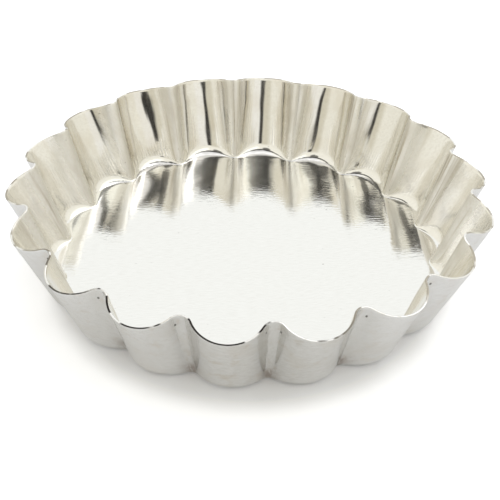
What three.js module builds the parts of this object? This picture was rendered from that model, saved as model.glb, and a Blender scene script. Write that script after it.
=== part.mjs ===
// A fluted baking mould, pressed from one round blank of tinplate: a flat base, a rounded corner,
// and a flared wall of flutes that ends in a raw trimmed rim. It has no seam and no other piece.
// Millimetres, +Z up, with the origin at the middle of the underside.
// Outwards, each flute swells to a crest, and the narrow bend between two flutes is a ridge.
import * as THREE from "three";
import { LoftGeometry } from "three/addons/geometries/LoftGeometry.js";

// Driving dimensions, on the outside of the sheet unless they say otherwise
const sheet = 0.35; // thickness of the tinplate
const fluteCount = 18; // flutes round the wall
const rimRadius = 50; // axis to the rim at a crest, half the size the mould is sold by
const rimFluteDepth = 4.4; // crest to ridge, at the rim
const rimRidgeRound = 1.85; // bend of a ridge, at the rim
const wallSpread = 7.2; // how far the rim stands out past the foot of the wall
const footFluteDepth = 3.2; // crest to ridge, at the foot
const footRidgeRound = 1.1; // bend of a ridge, at the foot
const wallHeight = 18.8; // underside to the rim on a ridge
const rimDip = 1.55; // how much lower the rim runs at a crest
const crestCorner = 3.2; // bend between the base and the wall under a crest, on the inside of the sheet
const ridgeCorner = 0.5; // the same bend under a ridge

// Straight steps that stand for each round
const crestSteps = 12;
const ridgeSteps = 4;
const cornerSteps = 4;

const halfPitch = Math.PI / fluteCount;
const stepsPerFlute = crestSteps + ridgeSteps;
const columnCount = fluteCount * stepsPerFlute;

function polar(radius, angle) {
  return new THREE.Vector2(radius * Math.cos(angle), radius * Math.sin(angle));
}

// The wall in plan at one level: a wide arc for each crest and a small one for each ridge.
// The two arcs bend opposite ways and meet with no corner, where the line between their centres crosses them.
function flutedOutline(crestRadius, fluteDepth, ridgeRound) {
  const ridgeReach = crestRadius - fluteDepth + ridgeRound;
  const ridgeCentre = polar(ridgeReach, halfPitch);
  const pastCrest = crestRadius + ridgeRound;
  const crestReach = (pastCrest ** 2 - ridgeReach ** 2) / (2 * (pastCrest - ridgeCentre.x));
  return {
    crestReach,
    crestRound: crestRadius - crestReach,
    ridgeReach,
    ridgeRound,
    sweep: Math.atan2(ridgeCentre.y, ridgeCentre.x - crestReach),
  };
}

// One point of an outline, set in from it by the inset. A set-in arc keeps its centre,
// so the same column of two outlines lies along the sheet's thickness.
function planPoint(outline, column, inset) {
  const step = column % stepsPerFlute;
  const flute = Math.floor(column / stepsPerFlute);
  const { crestReach, crestRound, ridgeReach, ridgeRound, sweep } = outline;
  let point;
  if (step < crestSteps) {
    const turn = THREE.MathUtils.lerp(-sweep, sweep, step / crestSteps);
    point = polar(crestReach, 0).add(polar(crestRound - inset, turn));
  } else {
    const turn = THREE.MathUtils.lerp(sweep, 2 * halfPitch - sweep, (step - crestSteps) / ridgeSteps);
    point = polar(ridgeReach, halfPitch).sub(polar(ridgeRound + inset, turn));
  }
  return point.rotateAround(new THREE.Vector2(), 2 * halfPitch * flute);
}

const foot = flutedOutline(rimRadius - wallSpread, footFluteDepth, footRidgeRound);
const rim = flutedOutline(rimRadius, rimFluteDepth, rimRidgeRound);

// How far in a column lies on an outline, from 0 on a crest to 1 on a ridge.
function fromCrest(outline, column) {
  const crestRadius = outline.crestReach + outline.crestRound;
  const ridgeRadius = outline.ridgeReach - outline.ridgeRound;
  return (crestRadius - planPoint(outline, column, 0).length()) / (crestRadius - ridgeRadius);
}

// The rim is highest on the ridges and dips towards the crests.
function rimHeight(column) {
  return wallHeight - rimDip * (1 - fromCrest(rim, column));
}

// The angle by which the wall leans outwards, square to an outline.
function lean(outline, column) {
  const outward = planPoint(outline, column, 0).sub(planPoint(outline, column, 1));
  const run = planPoint(rim, column, 0).sub(planPoint(foot, column, 0));
  return Math.atan2(run.dot(outward), rimHeight(column));
}

// A ring of points round the mould, one for each column.
function ring(pointAt) {
  return Array.from({ length: columnCount }, (_, column) => pointAt(column));
}

function rimRing(thickness) {
  return ring((column) => {
    const plan = planPoint(rim, column, thickness / Math.cos(lean(rim, column)));
    return new THREE.Vector3(plan.x, plan.y, rimHeight(column));
  });
}

// A ring on the rounded corner, from the flat base at share 0 to the wall at share 1.
// The corner is a wide scoop under each crest and tightens to a crease under each ridge.
function cornerRing(thickness, share) {
  return ring((column) => {
    const outside = THREE.MathUtils.lerp(crestCorner, ridgeCorner, fromCrest(foot, column)) + sheet;
    const fullTurn = Math.PI / 2 - lean(foot, column);
    const setback = outside * Math.tan(fullTurn / 2);
    const bend = outside - thickness;
    const turn = fullTurn * share;
    const plan = planPoint(foot, column, setback - bend * Math.sin(turn));
    return new THREE.Vector3(plan.x, plan.y, outside - bend * Math.cos(turn));
  });
}

function centreRing(height) {
  return ring(() => new THREE.Vector3(0, 0, height));
}

// The sheet's whole skin: out from the middle of the underside, up the outside of the wall,
// over the rim's edge, down the inside and back to the middle of the base.
function pressedShell() {
  const shares = Array.from({ length: cornerSteps + 1 }, (_, step) => step / cornerSteps);
  const outside = shares.map((share) => cornerRing(0, share));
  const inside = shares.map((share) => cornerRing(sheet, share)).reverse();
  return new LoftGeometry([
    centreRing(0),
    ...outside,
    rimRing(0),
    rimRing(sheet),
    ...inside,
    centreRing(sheet),
  ]);
}

const tinplate = new THREE.MeshStandardMaterial({ color: 0xd6d3c9, metalness: 1, roughness: 0.28 });

const mouldShell = new THREE.Mesh(pressedShell(), tinplate);
mouldShell.name = "mould_shell";

const mould = new THREE.Group();
mould.add(mouldShell);

export default mould;
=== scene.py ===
"""A fluted tartlet mould of bright tinplate, standing on a white studio table.

The mould is one pressing, so it is made the way the real one is: a flat round blank is spun,
its raw edge is eased, and the press then carries each point of the blank to its place on the
flat base, the rounded corner or the flared wall of flutes.
"""

import functools
import math
from collections import namedtuple

import bmesh
import bpy
from mathutils import Matrix, Vector, noise


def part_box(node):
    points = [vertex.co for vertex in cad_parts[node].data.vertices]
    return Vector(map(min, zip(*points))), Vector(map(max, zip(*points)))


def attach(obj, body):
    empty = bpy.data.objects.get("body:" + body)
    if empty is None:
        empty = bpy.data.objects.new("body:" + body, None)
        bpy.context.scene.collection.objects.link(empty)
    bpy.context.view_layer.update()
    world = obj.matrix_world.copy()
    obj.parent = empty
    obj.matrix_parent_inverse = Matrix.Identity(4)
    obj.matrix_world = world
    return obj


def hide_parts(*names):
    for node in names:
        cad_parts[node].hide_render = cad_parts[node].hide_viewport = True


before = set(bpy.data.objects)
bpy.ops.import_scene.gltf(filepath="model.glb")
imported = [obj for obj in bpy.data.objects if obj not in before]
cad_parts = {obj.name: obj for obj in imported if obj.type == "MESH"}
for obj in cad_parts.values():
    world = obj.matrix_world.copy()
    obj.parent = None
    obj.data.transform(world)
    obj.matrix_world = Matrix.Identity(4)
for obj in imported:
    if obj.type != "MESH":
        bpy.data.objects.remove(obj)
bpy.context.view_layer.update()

MM = 0.001
SHELL_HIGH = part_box("mould_shell")[1]

# The pressing, on the outside of the sheet
FLUTES = 18
SHEET = 0.35 * MM
RIM_RADIUS = SHELL_HIGH.x
RIM_FLUTE_DEPTH = 4.4 * MM
RIM_RIDGE_ROUND = 1.85 * MM
WALL_SPREAD = 7.2 * MM
FOOT_FLUTE_DEPTH = 3.2 * MM
FOOT_RIDGE_ROUND = 1.1 * MM
WALL_HEIGHT = SHELL_HIGH.z
RIM_DIP = 1.55 * MM
CREST_CORNER = 3.2 * MM + SHEET
RIDGE_CORNER = 0.5 * MM + SHEET

# The flat blank: how much of its radius becomes base, corner and wall
BLANK_BASE = 39.2 * MM
BLANK_CORNER = 3.4 * MM
BLANK_WALL = 17.6 * MM
BLANK_RADIUS = BLANK_BASE + BLANK_CORNER + BLANK_WALL
EDGE_EASE = 0.07 * MM
EDGE_EASE_STEPS = 2
TINY = 0.001 * MM

# How finely the blank is divided
COLUMNS_PER_FLUTE = 40
CREST_COLUMNS = 28
BASE_STEPS = 5
CORNER_STEPS = 10
WALL_STEPS = 26
ANGLE_DIGITS = 6

# The wall is not quite true: the press leaves broad shallow waves in it, and small ones on them,
# which are calmer at the two sides
WAVE_LENGTH = 7 * MM
WAVE_HEIGHT = 0.22 * MM
RIPPLE_LENGTH = 2.6 * MM
RIPPLE_HEIGHT = 0.075 * MM
SIDE_CALM = 0.75

# Flat spots that the press left on some flutes: how far aside of the flute's crest and how wide, as
# shares of half its pitch, how far up the wall and how tall, as shares of the wall, how flat, and
# how steeply it tilts sideways
FlatSpot = namedtuple("FlatSpot", "flute aside wide up tall flat tilt", defaults=(0,))
FLAT_SPOTS = (
    FlatSpot(1, 0.62, 0.16, 1.0, 0.20, 0.8),
    FlatSpot(2, 0.55, 0.16, 1.0, 0.12, 0.8),
    FlatSpot(2, 0.52, 0.16, 0.55, 0.35, 0.5),
    FlatSpot(3, 0.37, 0.16, 1.0, 0.14, 0.9),
    FlatSpot(3, 0.31, 0.18, 0.28, 0.26, 1.05),
    FlatSpot(4, 0.06, 0.16, 1.0, 0.10, 0.6),
    FlatSpot(4, 0.06, 0.16, 0.72, 0.16, 0.5),
    FlatSpot(5, -0.10, 0.16, 1.0, 0.12, 0.9),
    FlatSpot(5, -0.14, 0.16, 0.22, 0.20, 0.6),
    FlatSpot(6, -0.27, 0.27, 0.78, 0.32, 1.12, -0.05),
    FlatSpot(7, -0.60, 0.20, 0.95, 0.36, 1.2, 0.06),
)

# Flutes whose wall bellies inwards: how far aside of the crest and how wide, how deep, and how far
# up the wall the belly is deepest
Belly = namedtuple("Belly", "flute aside wide deep peak")
BELLIES = (
    Belly(1, 0.60, 0.35, 0.35 * MM, 0.33),
    Belly(2, 0.50, 0.40, 0.55 * MM, 0.33),
    Belly(6, -0.35, 0.40, 0.30 * MM, 0.22),
    Belly(7, -0.52, 0.40, 0.45 * MM, 0.40),
)

# The camera that took the photograph, found by fitting the rim and the base. Its focal length is in
# pixels of the photograph.
PHOTO_SIDE = 500
CAMERA_FOCAL = 955.3
CAMERA_TURN = math.radians(-5.8)
CAMERA_ELEVATION = math.radians(36.46)
CAMERA_ROLL = math.radians(1.26)
CAMERA_DISTANCE = 208.3 * MM
CAMERA_AIM = Vector((0.30, 0.64, 0)) * MM
CLIP_NEAR = 1 * MM
CLIP_FAR = 100
SENSOR_WIDTH = 36

# The white table, and the mould's shade on it, which lies round two middles, one forward and one back
FLOOR_SIDE = 6.0
FLOOR_DROP = 0.03 * MM
GLOW_FORWARD = 6.2 * MM
GLOW_START = 37.5 * MM
GLOW_END = 43.8 * MM
GLOW_STRENGTH = 0.33

# Light goes to and fro between the flutes, so the render needs more bounces than usual
MIRROR_BOUNCES = 12

HALF_PITCH = math.pi / FLUTES
CREST_SHARE = CREST_COLUMNS / COLUMNS_PER_FLUTE

Outline = namedtuple("Outline", "crest_reach crest_round ridge_reach ridge_round sweep")


def polar(radius, angle):
    return Vector((radius * math.cos(angle), radius * math.sin(angle)))


def fluted_outline(crest_radius, flute_depth, ridge_round):
    """The wall in plan at one level: a wide arc for each crest, and a small one for each ridge."""
    ridge_reach = crest_radius - flute_depth + ridge_round
    ridge_centre = polar(ridge_reach, HALF_PITCH)
    past_crest = crest_radius + ridge_round
    crest_reach = (past_crest**2 - ridge_reach**2) / (2 * (past_crest - ridge_centre.x))
    sweep = math.atan2(ridge_centre.y, ridge_centre.x - crest_reach)
    return Outline(crest_reach, crest_radius - crest_reach, ridge_reach, ridge_round, sweep)


RIM = fluted_outline(RIM_RADIUS, RIM_FLUTE_DEPTH, RIM_RIDGE_ROUND)
FOOT = fluted_outline(RIM_RADIUS - WALL_SPREAD, FOOT_FLUTE_DEPTH, FOOT_RIDGE_ROUND)


def plan_point(outline, angle, inset):
    """The point of an outline that an angle of the blank goes to, set in by the inset."""
    flute = round(angle / (2 * HALF_PITCH))
    middle = 2 * HALF_PITCH * flute
    share = (angle - middle) / HALF_PITCH
    side = math.copysign(1, share)
    reach = abs(share)
    if reach <= CREST_SHARE:
        turn = side * outline.sweep * reach / CREST_SHARE
        point = polar(outline.crest_reach, 0) + polar(outline.crest_round - inset, turn)
    else:
        past = (reach - CREST_SHARE) / (1 - CREST_SHARE)
        turn = side * (outline.sweep + (HALF_PITCH - outline.sweep) * past)
        point = polar(outline.ridge_reach, side * HALF_PITCH) - polar(outline.ridge_round + inset, turn)
    point.rotate(Matrix.Rotation(middle, 2))
    return point


@functools.lru_cache(maxsize=None)
def outward(outline, angle):
    """The direction square to an outline, away from the axis."""
    return (plan_point(outline, angle, 0) - plan_point(outline, angle, MM)).normalized()


@functools.lru_cache(maxsize=None)
def from_crest(outline, angle):
    """How far in an angle lies on an outline, from 0 on a crest to 1 on a ridge."""
    crest_radius = outline.crest_reach + outline.crest_round
    ridge_radius = outline.ridge_reach - outline.ridge_round
    return (crest_radius - plan_point(outline, angle, 0).length) / (crest_radius - ridge_radius)


@functools.lru_cache(maxsize=None)
def rim_height(angle):
    """The rim is highest on the ridges and dips towards the crests."""
    return WALL_HEIGHT - RIM_DIP * (1 - from_crest(RIM, angle))


@functools.lru_cache(maxsize=None)
def lean(outline, angle):
    """The angle by which the wall leans outwards, square to an outline."""
    run = plan_point(RIM, angle, 0) - plan_point(FOOT, angle, 0)
    return math.atan2(run.dot(outward(outline, angle)), rim_height(angle))


def on_corner(angle, depth, share):
    """A point of the corner, a wide scoop under a crest that tightens to a crease under a ridge."""
    outside = CREST_CORNER + (RIDGE_CORNER - CREST_CORNER) * from_crest(FOOT, angle)
    full_turn = math.pi / 2 - lean(FOOT, angle)
    setback = outside * math.tan(full_turn / 2)
    bend = outside - depth
    turn = full_turn * share
    plan = plan_point(FOOT, angle, setback - bend * math.sin(turn))
    return Vector((plan.x, plan.y, outside - bend * math.cos(turn)))


def on_rim(angle, depth):
    plan = plan_point(RIM, angle, depth / math.cos(lean(RIM, angle)))
    return Vector((plan.x, plan.y, rim_height(angle)))


def beside_crest(angle, flute):
    """How far an angle lies from the crest line of a flute, as a share of half its pitch."""
    return math.remainder(angle - 2 * HALF_PITCH * flute, 2 * math.pi) / HALF_PITCH


def flat_spots(angle, up_wall):
    """How far the flat spots stand inwards at one place on the wall, level along their middles."""
    depth = 0
    for spot in FLAT_SPOTS:
        across = (beside_crest(angle, spot.flute) - spot.aside) / spot.wide
        along = (up_wall - spot.up) / spot.tall
        half_width = spot.wide * RIM.crest_round * RIM.sweep / CREST_SHARE
        flat_depth = spot.flat * half_width**2 / (2 * RIM.crest_round)
        across_share = math.exp(-across**2) - math.exp(-(across / 2) ** 2)
        tilt_depth = spot.tilt * half_width * across * math.exp(-across**2)
        depth += (flat_depth * across_share + tilt_depth) * math.exp(-along**2)
    return depth


def bellies(angle, up_wall):
    """How far the wall bellies inwards at one place. A belly ends at the foot and at the rim."""
    depth = 0
    for belly in BELLIES:
        across = (beside_crest(angle, belly.flute) - belly.aside) / belly.wide
        from_rim = (1 - min(up_wall, 1)) / (1 - belly.peak)
        along = up_wall / belly.peak * from_rim ** ((1 - belly.peak) / belly.peak)
        depth += belly.deep * along * math.exp(-across**2)
    return depth


def waves(angle, up_wall):
    """How far the waves stand inwards at one place on the wall. They start at its foot."""
    around = polar(RIM_RADIUS, angle)
    place = Vector((around.x, around.y, up_wall * BLANK_WALL))
    broad = WAVE_HEIGHT * (1 - noise.noise(place / WAVE_LENGTH)) / 2
    calm = 1 - SIDE_CALM * math.cos(angle) ** 2
    small = RIPPLE_HEIGHT * calm * (1 - noise.noise(place / RIPPLE_LENGTH)) / 2
    return (broad + small) * math.sin(math.pi / 2 * up_wall)


def out_of_true(angle, up_wall):
    """How far the press has left the wall from true, inwards."""
    return waves(angle, up_wall) + flat_spots(angle, up_wall) + bellies(angle, up_wall)


def pressed(flat):
    """Where the press carries a point of the flat blank. Its height there is its depth in the sheet."""
    radial = math.hypot(flat.x, flat.y)
    angle = round(math.atan2(flat.y, flat.x), ANGLE_DIGITS)
    depth = flat.z
    if radial <= BLANK_BASE:
        edge = on_corner(angle, depth, 0)
        share = radial / BLANK_BASE
        return Vector((edge.x * share, edge.y * share, depth))
    if radial <= BLANK_BASE + BLANK_CORNER:
        return on_corner(angle, depth, (radial - BLANK_BASE) / BLANK_CORNER)
    up_wall = (radial - BLANK_BASE - BLANK_CORNER) / BLANK_WALL
    point = on_corner(angle, depth, 1).lerp(on_rim(angle, depth), up_wall)
    shift = outward(RIM, angle) * out_of_true(angle, up_wall)
    return point - Vector((shift.x, shift.y, 0))


def steps(start, length, count):
    """Even steps along a stretch, without its start."""
    return [start + length * (i + 1) / count for i in range(count)]


def flat_blank():
    """The round blank: half of its section is spun through one flute, and that is copied all round."""
    radii = [0.0]
    radii += steps(0, BLANK_BASE, BASE_STEPS)
    radii += steps(BLANK_BASE, BLANK_CORNER, CORNER_STEPS)
    radii += steps(BLANK_BASE + BLANK_CORNER, BLANK_WALL, WALL_STEPS)
    section = [Vector((r, 0, 0)) for r in radii] + [Vector((r, 0, SHEET)) for r in reversed(radii)]
    bm = bmesh.new()
    verts = [bm.verts.new(p) for p in section]
    edges = [bm.edges.new(pair) for pair in zip(verts, verts[1:])]
    axis = {"cent": (0, 0, 0), "axis": (0, 0, 1), "dvec": (0, 0, 0)}
    pitch = 2 * HALF_PITCH
    bmesh.ops.spin(bm, geom=verts + edges, angle=pitch, steps=COLUMNS_PER_FLUTE, **axis)
    sector = bm.verts[:] + bm.edges[:] + bm.faces[:]
    others = FLUTES - 1
    bmesh.ops.spin(bm, geom=sector, angle=pitch * others, steps=others, use_duplicate=True, **axis)
    bmesh.ops.remove_doubles(bm, verts=bm.verts, dist=TINY)
    bmesh.ops.recalc_face_normals(bm, faces=bm.faces)
    return bm


def ease_raw_edge(bm):
    """Rounds the two sharp edges that the trimming left round the blank."""
    round_edges = []
    for edge in bm.edges:
        at_rim = all(v.co.xy.length > BLANK_RADIUS - TINY for v in edge.verts)
        level = abs(edge.verts[0].co.z - edge.verts[1].co.z) < TINY
        if at_rim and level:
            round_edges.append(edge)
    bmesh.ops.bevel(
        bm, geom=round_edges, offset=EDGE_EASE, offset_type="OFFSET", segments=EDGE_EASE_STEPS, profile=0.5,
        affect="EDGES", material=-1,
    )


def object_of(bm, name):
    """A new object in the scene, with the shape of a bmesh that is done with."""
    mesh = bpy.data.meshes.new(name)
    bm.to_mesh(mesh)
    bm.free()
    made = bpy.data.objects.new(name, mesh)
    bpy.context.scene.collection.objects.link(made)
    return made


def press_mould():
    """The mould's shell, with a map of the flat blank kept for the marks that run with the sheet."""
    bm = flat_blank()
    ease_raw_edge(bm)
    blank_map = bm.loops.layers.uv.new("blank")
    outside = bm.verts.layers.float.new("outside")
    for face in bm.faces:
        face.smooth = True
        trimmed = all(v.co.xy.length > BLANK_RADIUS - EDGE_EASE - TINY for v in face.verts)
        face.material_index = int(trimmed)
        for loop in face.loops:
            loop[blank_map].uv = loop.vert.co.xy / MM
    for vert in bm.verts:
        vert[outside] = 1 - vert.co.z / SHEET
        vert.co = pressed(vert.co)
    return object_of(bm, "pressed_shell")


# Sockets of a Mix node that mixes colours
MIX_FIRST = 6
MIX_SECOND = 7
MIX_RESULT = 2


class Graph:
    """A short way to write a tree of shader nodes."""

    def __init__(self, tree):
        self.tree = tree
        tree.nodes.clear()

    def node(self, kind, settings=None, **inputs):
        made = self.tree.nodes.new(kind)
        for name, value in (settings or {}).items():
            setattr(made, name, value)
        for name, value in inputs.items():
            self.feed(made.inputs[name.replace("_", " ")], value)
        return made

    def feed(self, socket, value):
        if isinstance(value, bpy.types.NodeSocket):
            self.tree.links.new(value, socket)
        else:
            socket.default_value = value

    def show(self, output, shader):
        """Puts a shader on the tree's output."""
        self.feed(self.node(output).inputs["Surface"], shader.outputs[0])

    def math(self, operation, *values):
        made = self.tree.nodes.new("ShaderNodeMath")
        made.operation = operation
        for socket, value in zip(made.inputs, values):
            self.feed(socket, value)
        return made.outputs[0]

    def both(self, first, *others):
        """The product of several shares."""
        for other in others:
            first = self.math("MULTIPLY", first, other)
        return first

    def total(self, first, *others):
        for other in others:
            first = self.math("ADD", first, other)
        return first

    def away(self, value, middle):
        """How far a value is from the middle, either way."""
        return self.math("ABSOLUTE", self.math("SUBTRACT", value, middle))

    def reach(self, first, second):
        """The length of a line that runs so far one way and so far square to it."""
        squares = self.math("ADD", self.math("POWER", first, 2.0), self.math("POWER", second, 2.0))
        return self.math("SQRT", squares)

    def fade(self, value, start, end):
        """0 at start, 1 at end, smooth between."""
        made = self.node("ShaderNodeMapRange", {"interpolation_type": "SMOOTHSTEP"})
        self.feed(made.inputs["Value"], value)
        made.inputs["From Min"].default_value = start
        made.inputs["From Max"].default_value = end
        return made.outputs["Result"]

    def range(self, value, start, end, low, high):
        """Low at start, high at end, straight between."""
        made = self.node("ShaderNodeMapRange")
        self.feed(made.inputs["Value"], value)
        made.inputs["From Min"].default_value = start
        made.inputs["From Max"].default_value = end
        made.inputs["To Min"].default_value = low
        made.inputs["To Max"].default_value = high
        return made.outputs["Result"]

    def between(self, share, none, full):
        """One value where the share is none, another where it is full."""
        return self.range(share, 0, 1, none, full)

    def mix(self, share, first, second):
        made = self.node("ShaderNodeMix", {"data_type": "RGBA"})
        self.feed(made.inputs["Factor"], share)
        self.feed(made.inputs[MIX_FIRST], first)
        self.feed(made.inputs[MIX_SECOND], second)
        return made.outputs[MIX_RESULT]

    def coat(self, share, under, coat):
        """A tone with a coat laid over it by its share."""
        return self.mix(self.both(share, coat.cover), under, coat.tone)

    def grain(self, place, pattern):
        """Soft noise from 0 to 1, its pattern stretched along each axis."""
        stretched = self.node("ShaderNodeMapping", Vector=place, Scale=pattern.scale).outputs[0]
        made = self.node(
            "ShaderNodeTexNoise", Vector=stretched, Scale=1.0, Detail=pattern.detail,
            Roughness=pattern.roughness,
        )
        return made.outputs["Fac"]

    def marks(self, place, pattern):
        """The marks of a pattern: the places where its noise is high."""
        return self.fade(self.grain(place, pattern), *pattern.shows)

    def bump(self, height, deep, under=None):
        made = self.node("ShaderNodeBump", Height=height, Strength=1.0, Distance=deep)
        if under:
            self.feed(made.inputs["Normal"], under)
        return made.outputs[0]

    def along_room(self, vector):
        """The parts of a vector along the room: sideways, backwards and upwards."""
        turned = self.node(
            "ShaderNodeVectorRotate", {"rotation_type": "Z_AXIS"}, Vector=vector, Angle=-CAMERA_TURN,
        )
        return self.node("ShaderNodeSeparateXYZ", Vector=turned.outputs[0]).outputs


def colour(red, green, blue):
    return (red, green, blue, 1.0)


# Patterns on the sheet: how close they lie along each axis, how much finer detail they carry, how
# strong that is, and between which levels of the noise their marks show. Draw lines, the veil and
# the dashes run up the wall, so their third axis is the blank's radius.
Grain = namedtuple("Grain", "scale detail roughness shows", defaults=(None,))
ROLLING = Grain((0.5, 2.2, 1.0), 1.5, 0.6)
HAIRLINES = Grain((0.5, 5.0, 1.0), 2.0, 0.6, (0.35, 0.7))
WIDE_DRAW_LINES = Grain((30, 30, 0.03), 2.0, 0.5, (0.52, 0.68))
FINE_DRAW_LINES = Grain((90, 90, 0.05), 2.0, 0.5, (0.3, 0.6))
VEIL = Grain((9, 9, 0.10), 3.0, 0.6, (0.42, 0.72))
CLOUD = Grain((0.15, 0.15, 1.0), 3.0, 0.5, (0.5, 0.7))
MOTTLE = Grain((0.9, 1.3, 1.0), 4.0, 0.65, (0.35, 0.7))
FLECKS = Grain((1.7, 1.7, 1.0), 3.0, 0.7, (0.45, 0.65))
STAINS = Grain((0.32, 0.32, 1.0), 3.0, 0.6, (0.54, 0.70))
FRECKLES = Grain((3.2, 3.2, 1.0), 1.0, 0.5, (0.62, 0.78))
FOOT_SHADE_GRAIN = Grain((0.7, 0.7, 1.0), 3.0, 0.5, (0.34, 0.54))
SPECKS = Grain((1.3, 1.3, 1.0), 0.0, 0.5, (0.86, 0.90))
EDGE_DASHES = Grain((11, 11, 0.2), 2.0, 0.6, (0.46, 0.52))

# Tones of the tin, and coats over it with how fully they cover; most are the tin's own tones, and some are
# painted light or shade. The veil covers less on the two sides.
Coat = namedtuple("Coat", "tone cover", defaults=(1.0,))
BRIGHT_TIN = colour(0.85, 0.84, 0.805)
GREYER_TIN = colour(0.815, 0.803, 0.765)
OUTSIDE_TIN = colour(0.775, 0.77, 0.752)
DULL_OUTSIDE_TIN = colour(0.695, 0.688, 0.665)
# Painted highlight: the inside of the wall is made lighter at its two sides.
ENDS_PAINTED_HIGHLIGHT = Coat(colour(0.93, 0.925, 0.91))
BROWN_COAT = Coat(colour(0.46, 0.41, 0.32), 0.8)
VEIL_COAT = Coat(colour(0.735, 0.695, 0.615))
FLECK_COAT = Coat(colour(0.77, 0.745, 0.69), 0.45)
CLOUD_COAT = Coat(colour(0.68, 0.65, 0.60), 0.5)
STAIN_COAT = Coat(colour(0.60, 0.55, 0.48), 0.6)
FRECKLE_COAT = Coat(colour(0.50, 0.47, 0.43), 0.5)
# Painted reflection: the outside is made paler at the two sides.
ASIDE_PAINTED_REFLECTION = Coat(colour(0.87, 0.87, 0.865), 0.35)
# Painted shade: brownish dark in the grooves round the foot of the outside.
GROOVE_PAINTED_SHADE = Coat(colour(0.36, 0.30, 0.26), 0.75)
PIN_COAT = Coat(colour(0.05, 0.045, 0.04), 0.85)
SPECK_COAT = Coat(colour(0.5, 0.48, 0.44))
VEIL_COVER = (0.65, 0.4)

# Soft edges, from none to full. Round a flute they run from 0 on a ridge to 1 on a crest, aside from
# 0 at the front and back to 1 at the two sides, and through the sheet from 0 inside to 1 outside.
BY_RIDGE = (0.75, 0.2)
ON_RIDGE = (0.56, 0.24)
ON_SIDE = (0.62, 0.88)
ENDS_HIGHLIGHT_EDGE = (0.86, 0.99)
OUTSIDE_REFLECTION_ASIDE = (0.1, 0.5)
INSIDE = (0.6, 0.4)
OUTSIDE = (0.4, 0.6)
FOOT_SHADE_BY_RIDGE = (0.55, 0.12)

# Places on the blank, in millimetres as its map has them
WALL_START = (BLANK_BASE + BLANK_CORNER) / MM
WALL_FADE = 2
FOOT_SHADE_MIDDLE = WALL_START + 0.5
FOOT_SHADE_REACH = (3.2, 0.8)
PIN_RADIUS = BLANK_RADIUS / MM - 2.4
PIN_BESIDE_RIDGE = 0.24
PIN_EDGE = (0.38, 0.20)
# Where the rim's steel is painted dark, a painted reflection: it fades out towards the back and the right.
PAINTED_DARK_BACK = (-46, -20)
PAINTED_DARK_RIGHT = (2, 26)

# Relief of the marks, and how much of it is left away from its own place
ROLL_DEPTH = 0.018 * MM
ROLL_LEFT_OUTSIDE = 0.12
ROLL_LEFT_ON_WALL = 0.25
DRAW_DEPTH = 0.08 * MM
DRAW_LEFT_ON_CREST = 0.2
COMB_DEPTH = 0.06 * MM
COMB_LEFT_ON_CREST = 0.1

# Roughness of the tin, and what the wall, its ridges, its two sides and the outside add
CLOUD_LEVELS = (0.3, 0.7)
BASE_ROUGH = (0.06, 0.075)
WALL_ROUGH = 0.045
VEIL_LEVELS = (0.35, 0.65)
RIDGE_ROUGH = (0.12, 0.36)
SIDE_ROUGH = 0.03
MOTTLE_LEVELS = (0.3, 0.7)
OUTSIDE_ROUGH = (0.10, 0.14)
GRAIN_STRETCH = 0.6
QUARTER_TURN = 0.25


class BlankPlace:
    """Where a shaded point lies on the flat blank, in millimetres, and on which face of the sheet."""

    def __init__(self, g):
        self.flat = g.node("ShaderNodeUVMap", {"uv_map": "blank"}).outputs[0]
        self.right, self.across, _ = g.node("ShaderNodeSeparateXYZ", Vector=self.flat).outputs
        length = g.node("ShaderNodeVectorMath", {"operation": "LENGTH"}, Vector=self.flat)
        self.radial = length.outputs["Value"]
        way = g.node("ShaderNodeVectorMath", {"operation": "NORMALIZE"}, Vector=self.flat).outputs[0]
        way_right, way_across, _ = g.node("ShaderNodeSeparateXYZ", Vector=way).outputs
        self.drawn = g.node("ShaderNodeCombineXYZ", X=way_right, Y=way_across, Z=self.radial).outputs[0]
        self.side = g.math("SIGN", way_right)
        self.aside = g.math("ABSOLUTE", way_right)
        angle = g.math("ARCTAN2", self.across, self.right)
        flutes = g.math("FRACT", g.math("MULTIPLY", angle, FLUTES / (2 * math.pi)))
        self.past_ridge = g.math("MULTIPLY", g.math("SUBTRACT", flutes, 0.5), 2.0)
        self.from_ridge = g.math("ABSOLUTE", self.past_ridge)
        self.outside = g.node("ShaderNodeAttribute", {"attribute_name": "outside"}).outputs["Fac"]


class TinMarks:
    """Shares for the parts of the sheet, and the patterns that are used more than once."""

    def __init__(self, g, place):
        self.on_wall = g.fade(place.radial, WALL_START - WALL_FADE, WALL_START + WALL_FADE)
        self.by_ridge = g.fade(place.from_ridge, *BY_RIDGE)
        self.inside = g.fade(place.outside, *INSIDE)
        self.outside = g.fade(place.outside, *OUTSIDE)
        self.on_ridge = g.both(g.fade(place.from_ridge, *ON_RIDGE), self.on_wall, self.inside)
        self.on_side = g.both(g.fade(place.aside, *ON_SIDE), self.on_wall)
        self.draw_wide = g.grain(place.drawn, WIDE_DRAW_LINES)
        self.draw_fine = g.grain(place.drawn, FINE_DRAW_LINES)
        self.veil = g.grain(place.drawn, VEIL)
        self.cloud = g.grain(place.flat, CLOUD)
        self.mottle = g.grain(place.flat, MOTTLE)


def tin_relief(g, place, marks):
    """Rolling grain along the sheet, draw lines up the wall, and a fine comb on its ridges."""
    roll_height = g.both(
        g.grain(place.flat, ROLLING),
        g.between(place.outside, 1.0, ROLL_LEFT_OUTSIDE),
        g.between(marks.on_wall, 1.0, ROLL_LEFT_ON_WALL),
    )
    rolled = g.bump(roll_height, ROLL_DEPTH)
    draw_height = g.both(marks.draw_wide, marks.on_wall, g.between(marks.by_ridge, DRAW_LEFT_ON_CREST, 1.0))
    drawn = g.bump(draw_height, DRAW_DEPTH, rolled)
    comb_height = g.both(marks.draw_fine, marks.on_wall, g.between(marks.on_ridge, COMB_LEFT_ON_CREST, 1.0))
    return g.bump(comb_height, COMB_DEPTH, drawn)


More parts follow.
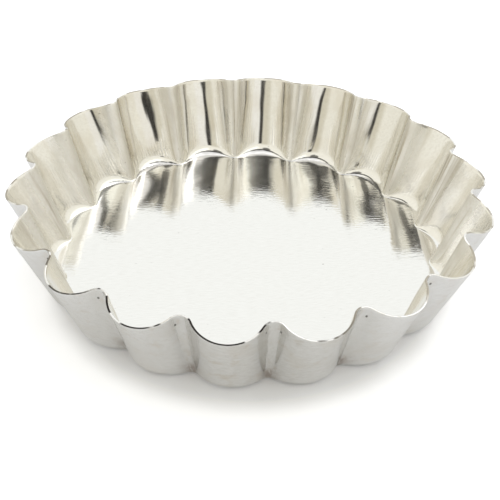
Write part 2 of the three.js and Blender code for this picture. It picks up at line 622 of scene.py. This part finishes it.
def tin_roughness(g, place, marks):
    return g.total(
        g.range(marks.cloud, *CLOUD_LEVELS, *BASE_ROUGH),
        g.both(marks.on_wall, marks.inside, WALL_ROUGH),
        g.both(marks.on_ridge, g.range(marks.veil, *VEIL_LEVELS, *RIDGE_ROUGH)),
        g.both(marks.on_side, marks.inside, SIDE_ROUGH),
        g.both(place.outside, g.range(marks.mottle, *MOTTLE_LEVELS, *OUTSIDE_ROUGH)),
    )


def inside_tone(g, place, marks):
    """Bright tin with hairlines, browner in the draw lines, veiled and flecked up the wall, with a painted
    highlight that makes the wall lighter at its two sides.
    """
    tone = g.mix(g.marks(place.flat, HAIRLINES), BRIGHT_TIN, GREYER_TIN)
    # Painted highlight: the wall lighter at its two sides, where it mirrors brighter light.
    ends_highlight = g.both(g.fade(place.aside, *ENDS_HIGHLIGHT_EDGE), marks.on_wall)
    tone = g.coat(ends_highlight, tone, ENDS_PAINTED_HIGHLIGHT)
    brown_lines = g.both(
        g.fade(marks.draw_wide, *WIDE_DRAW_LINES.shows),
        g.fade(marks.draw_fine, *FINE_DRAW_LINES.shows),
        marks.on_wall,
        marks.by_ridge,
    )
    tone = g.coat(brown_lines, tone, BROWN_COAT)
    veiled = g.both(g.fade(marks.veil, *VEIL.shows), marks.on_wall, g.between(marks.on_side, *VEIL_COVER))
    tone = g.coat(veiled, tone, VEIL_COAT)
    return g.coat(g.both(g.marks(place.flat, FLECKS), marks.on_wall), tone, FLECK_COAT)


def outside_tone(g, place, marks):
    """Greyer, mottled tin with clouds, stains and freckles, with a painted reflection that makes it paler
    towards the two sides.
    """
    tone = g.mix(g.fade(marks.mottle, *MOTTLE.shows), OUTSIDE_TIN, DULL_OUTSIDE_TIN)
    tone = g.coat(g.fade(marks.cloud, *CLOUD.shows), tone, CLOUD_COAT)
    tone = g.coat(g.marks(place.flat, STAINS), tone, STAIN_COAT)
    tone = g.coat(g.marks(place.flat, FRECKLES), tone, FRECKLE_COAT)
    # Painted reflection of the white table: the outside paler towards the two sides.
    return g.coat(g.fade(place.aside, *OUTSIDE_REFLECTION_ASIDE), tone, ASIDE_PAINTED_REFLECTION)


def foot_groove_shade(g, place, marks):
    """Painted shade: brownish dark in the grooves of the outside, round the foot of the wall."""
    return g.both(
        g.fade(g.away(place.radial, FOOT_SHADE_MIDDLE), *FOOT_SHADE_REACH),
        g.fade(place.from_ridge, *FOOT_SHADE_BY_RIDGE),
        g.marks(place.flat, FOOT_SHADE_GRAIN),
        marks.outside,
    )


def pin_marks(g, place, marks):
    """A dark dot on the outside under the rim, beside each ridge."""
    down = g.away(place.radial, PIN_RADIUS)
    aside = g.away(g.both(place.past_ridge, place.side), PIN_BESIDE_RIDGE)
    along_rim = g.math("MULTIPLY", aside, HALF_PITCH * RIM_RADIUS / MM)
    return g.both(g.fade(g.reach(down, along_rim), *PIN_EDGE), marks.outside)


def tinplate():
    """Bright tinplate: rolling grain along the sheet, draw lines up the wall, and marks of the press."""
    material = bpy.data.materials.new("bright_tinplate")
    material.use_nodes = True
    g = Graph(material.node_tree)
    place = BlankPlace(g)
    marks = TinMarks(g, place)
    tone = g.mix(place.outside, inside_tone(g, place, marks), outside_tone(g, place, marks))
    # Painted shade in the grooves at the foot of the wall.
    tone = g.coat(foot_groove_shade(g, place, marks), tone, GROOVE_PAINTED_SHADE)
    tone = g.coat(pin_marks(g, place, marks), tone, PIN_COAT)
    tone = g.coat(g.marks(place.flat, SPECKS), tone, SPECK_COAT)
    along_grain = g.node("ShaderNodeTangent", {"direction_type": "UV_MAP", "uv_map": "blank"})
    shader = g.node(
        "ShaderNodeBsdfPrincipled", Base_Color=tone, Metallic=1.0, Roughness=tin_roughness(g, place, marks),
        Normal=tin_relief(g, place, marks), Anisotropic=GRAIN_STRETCH, Anisotropic_Rotation=QUARTER_TURN,
        Tangent=along_grain.outputs[0],
    )
    g.show("ShaderNodeOutputMaterial", shader)
    return material


# Bare steel painted dark, a painted reflection, along the front left of the rim.
STEEL_PAINTED_DARK = colour(0.035, 0.03, 0.028)
BROWN_STEEL = colour(0.42, 0.39, 0.33)
BURR = colour(0.80, 0.79, 0.76)
STEEL_ROUGH = 0.45
BURR_ROUGH = 0.2
DASH_SHIFT = (-0.08, 0.06)


def raw_cut_edge():
    """The trimmed rim: dashes of bare steel with bright burr between. Along the front left of the rim the
    steel is painted dark as a painted dark reflection, and on the rest it is only brownish."""
    material = bpy.data.materials.new("raw_cut_edge")
    material.use_nodes = True
    g = Graph(material.node_tree)
    place = BlankPlace(g)
    wander = g.math("SUBTRACT", g.grain(place.drawn, EDGE_DASHES), g.between(place.from_ridge, *DASH_SHIFT))
    burr = g.fade(wander, *EDGE_DASHES.shows)
    # Painted dark reflection on the steel along the front left of the rim; brownish steel elsewhere.
    past_painted_dark = g.math("MAXIMUM", g.fade(place.across, *PAINTED_DARK_BACK), g.fade(place.right, *PAINTED_DARK_RIGHT))
    tone = g.mix(burr, g.mix(past_painted_dark, STEEL_PAINTED_DARK, BROWN_STEEL), BURR)
    rough = g.between(burr, STEEL_ROUGH, BURR_ROUGH)
    shader = g.node("ShaderNodeBsdfPrincipled", Base_Color=tone, Metallic=1.0, Roughness=rough)
    g.show("ShaderNodeOutputMaterial", shader)
    return material


WHITE = colour(1.0, 1.0, 1.0)
TABLE_WHITE = colour(0.93, 0.94, 0.98)
TABLE_ROUGH = 0.9


def white_table():
    """A white table. It glows where the mould casts no shade, but the metal mirrors it plain."""
    bm = bmesh.new()
    bmesh.ops.create_grid(bm, x_segments=1, y_segments=1, size=FLOOR_SIDE / 2)
    bmesh.ops.translate(bm, verts=bm.verts, vec=(0, 0, -FLOOR_DROP))
    table = object_of(bm, "table")
    material = bpy.data.materials.new("white_table")
    material.use_nodes = True
    g = Graph(material.node_tree)
    aside, back, _ = g.along_room(g.node("ShaderNodeTexCoord").outputs["Object"])
    from_middle = g.math("SUBTRACT", g.math("ABSOLUTE", back), GLOW_FORWARD)
    from_shade = g.reach(aside, from_middle)
    seen = g.node("ShaderNodeLightPath").outputs["Is Camera Ray"]
    glow = g.both(g.fade(from_shade, GLOW_START, GLOW_END), seen, GLOW_STRENGTH)
    shader = g.node(
        "ShaderNodeBsdfPrincipled", Base_Color=TABLE_WHITE, Roughness=TABLE_ROUGH, Emission_Color=WHITE,
        Emission_Strength=glow, Specular_IOR_Level=0.0,
    )
    g.show("ShaderNodeOutputMaterial", shader)
    table.data.materials.append(material)


# Things on the ceiling: the middle, to the right and back, and the half sizes of an oval, as shares of
# the ceiling's height over the table, and its soft edge, as shares of the half sizes, from none to full
Oval = namedtuple("Oval", "right back half_wide half_deep edge")
PANEL = Oval(0.08, 0.34, 0.50, 0.50, (1.06, 0.94))
FRAME_OUTSIDE = Oval(0.05, 0.27, 0.58, 0.62, (1.03, 0.99))
PAST_FRAME_INSIDE = Oval(0.08, 0.34, 0.49, 0.48, (0.97, 1.01))
LENS = Oval(-0.25, -0.46, 0.20, 0.26, (1.1, 0.85))
WINDOW = Oval(0.48, 0.55, 0.26, 0.42, (1.12, 0.9))
PANEL_BACK = (0.2, 0.4)
PANEL_BACK_SIDES = (0.60, 0.45)
PANEL_LEFT = (-0.36, -0.14)
PANEL_MIDDLE_SIDES = (0.30, 0.18)
PANEL_MIDDLE_FRONT = (0.34, 0.18)
FRAME_FRONT = (0.65, 0.45)
FRAME_RIGHT = (0.05, 0.4)
FRAME_RIGHT_COVER = (1.0, 0.85)
LENS_COVER = 0.80

# Light and dark of the room
LOW_LIGHT = colour(0.95, 0.925, 0.825)
HIGH_LIGHT = colour(1.05, 1.025, 0.93)
LIGHT_RISE = (0.2, 0.55)
PANEL_LIGHT = colour(1.3, 1.3, 1.33)
PANEL_MIDDLE_LIGHT = colour(0.97, 0.97, 0.98)
WINDOW_LIGHT = colour(2.2, 2.2, 2.25)
FRAME_DARK = colour(0.10, 0.098, 0.094)
DARK = colour(0.03, 0.028, 0.026)

# Parts of the walls: soft edges sideways, backwards and upwards, from none to full, and their light
WallPart = namedtuple("WallPart", "sideways backwards up light")
FRONT_PARTS = (
    WallPart((0.12, -0.08), (-0.80, -0.97), (0.6, 0.3), colour(0.75, 0.71, 0.585)),
    WallPart((0.05, 0.2), (-0.6, -0.8), (0.45, 0.3), colour(1.0, 0.985, 0.93)),
    WallPart((0.05, 0.4), None, (0.60, 0.75), colour(1.35, 1.35, 1.27)),
)
BACK_SWEEP = WallPart(None, (0.82, 0.94), (0.85, 0.7), colour(1.09, 1.11, 1.11))
GAP_MIDDLE = 0.09
GAP_SIDES = (0.17, 0.05)
GAP_FRONT = (-0.5, -0.7)
GAP_TOP = (0.40, 0.33)
NEARLY_NONE = 0.001


class RoomPlace:
    """Where in the room a ray from the table ends: how far over it on the ceiling, and which way along
    the walls."""

    def __init__(self, g):
        self.g = g
        right, back, self.up = g.along_room(g.node("ShaderNodeTexCoord").outputs["Generated"])
        above = g.math("MAXIMUM", self.up, NEARLY_NONE)
        self.over_right = g.math("DIVIDE", right, above)
        self.over_back = g.math("DIVIDE", back, above)
        level = g.math("MAXIMUM", g.reach(right, back), NEARLY_NONE)
        self.sideways = g.math("DIVIDE", right, level)
        self.backwards = g.math("DIVIDE", back, level)

    def in_oval(self, oval):
        """The share of an oval on the ceiling."""
        g = self.g
        wide = g.math("DIVIDE", g.math("SUBTRACT", self.over_right, oval.right), oval.half_wide)
        deep = g.math("DIVIDE", g.math("SUBTRACT", self.over_back, oval.back), oval.half_deep)
        return g.fade(g.reach(wide, deep), *oval.edge)

    def on_wall_part(self, part):
        """The share of a part of the walls."""
        ways = ((self.sideways, part.sideways), (self.backwards, part.backwards), (self.up, part.up))
        return self.g.both(*[self.g.fade(way, *edge) for way, edge in ways if edge])


def bright_panel(g, place, room):
    """The room with the panel overhead, which runs on to the back and is dimmer in the middle."""
    to_back = g.both(
        g.fade(place.over_back, *PANEL_BACK),
        g.fade(g.away(place.over_right, PANEL.right), *PANEL_BACK_SIDES),
    )
    panel = g.math("MAXIMUM", place.in_oval(PANEL), to_back)
    middle = g.both(
        g.fade(g.math("ABSOLUTE", place.over_right), *PANEL_MIDDLE_SIDES),
        g.fade(place.over_back, *PANEL_MIDDLE_FRONT),
    )
    light = g.mix(middle, PANEL_LIGHT, PANEL_MIDDLE_LIGHT)
    return g.mix(g.both(panel, g.fade(place.over_right, *PANEL_LEFT)), room, light)


def dark_frame(g, place, room):
    """The room with the dark frame round the panel, open at the back and fainter on the right."""
    share = g.both(
        place.in_oval(FRAME_OUTSIDE),
        place.in_oval(PAST_FRAME_INSIDE),
        g.fade(place.over_back, *FRAME_FRONT),
        g.range(place.over_right, *FRAME_RIGHT, *FRAME_RIGHT_COVER),
    )
    return g.mix(share, room, FRAME_DARK)


def dark_gap(g, place, room):
    """The room with the dark gap low in front, which draws the black lines on the far flutes."""
    share = g.both(
        g.fade(g.away(place.sideways, GAP_MIDDLE), *GAP_SIDES),
        g.fade(place.backwards, *GAP_FRONT),
        g.fade(place.up, *GAP_TOP),
    )
    return g.mix(share, room, DARK)


def studio_light():
    """A pale room seen from the table: a bright panel overhead, a window light behind on the right,
    a white sweep at the back, and the dark frame, lens and gap that give bright metal its contrast.
    The camera itself sees plain white."""
    world = bpy.data.worlds.new("studio")
    bpy.context.scene.world = world
    world.use_nodes = True
    g = Graph(world.node_tree)
    place = RoomPlace(g)
    room = g.mix(g.fade(place.up, *LIGHT_RISE), LOW_LIGHT, HIGH_LIGHT)
    for part in FRONT_PARTS:
        room = g.mix(place.on_wall_part(part), room, part.light)
    room = bright_panel(g, place, room)
    room = g.mix(place.on_wall_part(BACK_SWEEP), room, BACK_SWEEP.light)
    room = dark_frame(g, place, room)
    room = g.mix(g.both(place.in_oval(LENS), LENS_COVER), room, DARK)
    room = g.mix(place.in_oval(WINDOW), room, WINDOW_LIGHT)
    room = dark_gap(g, place, room)
    seen = g.node("ShaderNodeLightPath").outputs["Is Camera Ray"]
    background = g.node("ShaderNodeBackground", Color=g.mix(seen, room, WHITE), Strength=1.0)
    g.show("ShaderNodeOutputWorld", background)


def photo_camera():
    turn = Matrix.Rotation(CAMERA_TURN, 3, "Z")
    out = Vector((0, -math.cos(CAMERA_ELEVATION), math.sin(CAMERA_ELEVATION))) * CAMERA_DISTANCE
    place = turn @ out
    forward = (turn @ CAMERA_AIM - place).normalized()
    level = forward.cross(Vector((0, 0, 1))).normalized()
    upright = level.cross(forward)
    right = level * math.cos(CAMERA_ROLL) + upright * math.sin(CAMERA_ROLL)
    above = upright * math.cos(CAMERA_ROLL) - level * math.sin(CAMERA_ROLL)
    data = bpy.data.cameras.new("photo_camera")
    data.sensor_width = SENSOR_WIDTH
    data.lens = CAMERA_FOCAL / PHOTO_SIDE * SENSOR_WIDTH
    data.clip_start = CLIP_NEAR
    data.clip_end = CLIP_FAR
    camera = bpy.data.objects.new("photo_camera", data)
    axes = Matrix((right, above, -forward)).transposed()
    camera.matrix_world = Matrix.Translation(place) @ axes.to_4x4()
    bpy.context.scene.collection.objects.link(camera)
    bpy.context.scene.camera = camera


photo_camera()
studio_light()
white_table()

shell = press_mould()
shell.data.materials.append(tinplate())
shell.data.materials.append(raw_cut_edge())
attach(shell, "root")
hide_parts("mould_shell")

bpy.context.scene.view_settings.view_transform = "Standard"
bpy.context.scene.cycles.glossy_bounces = MIRROR_BOUNCES
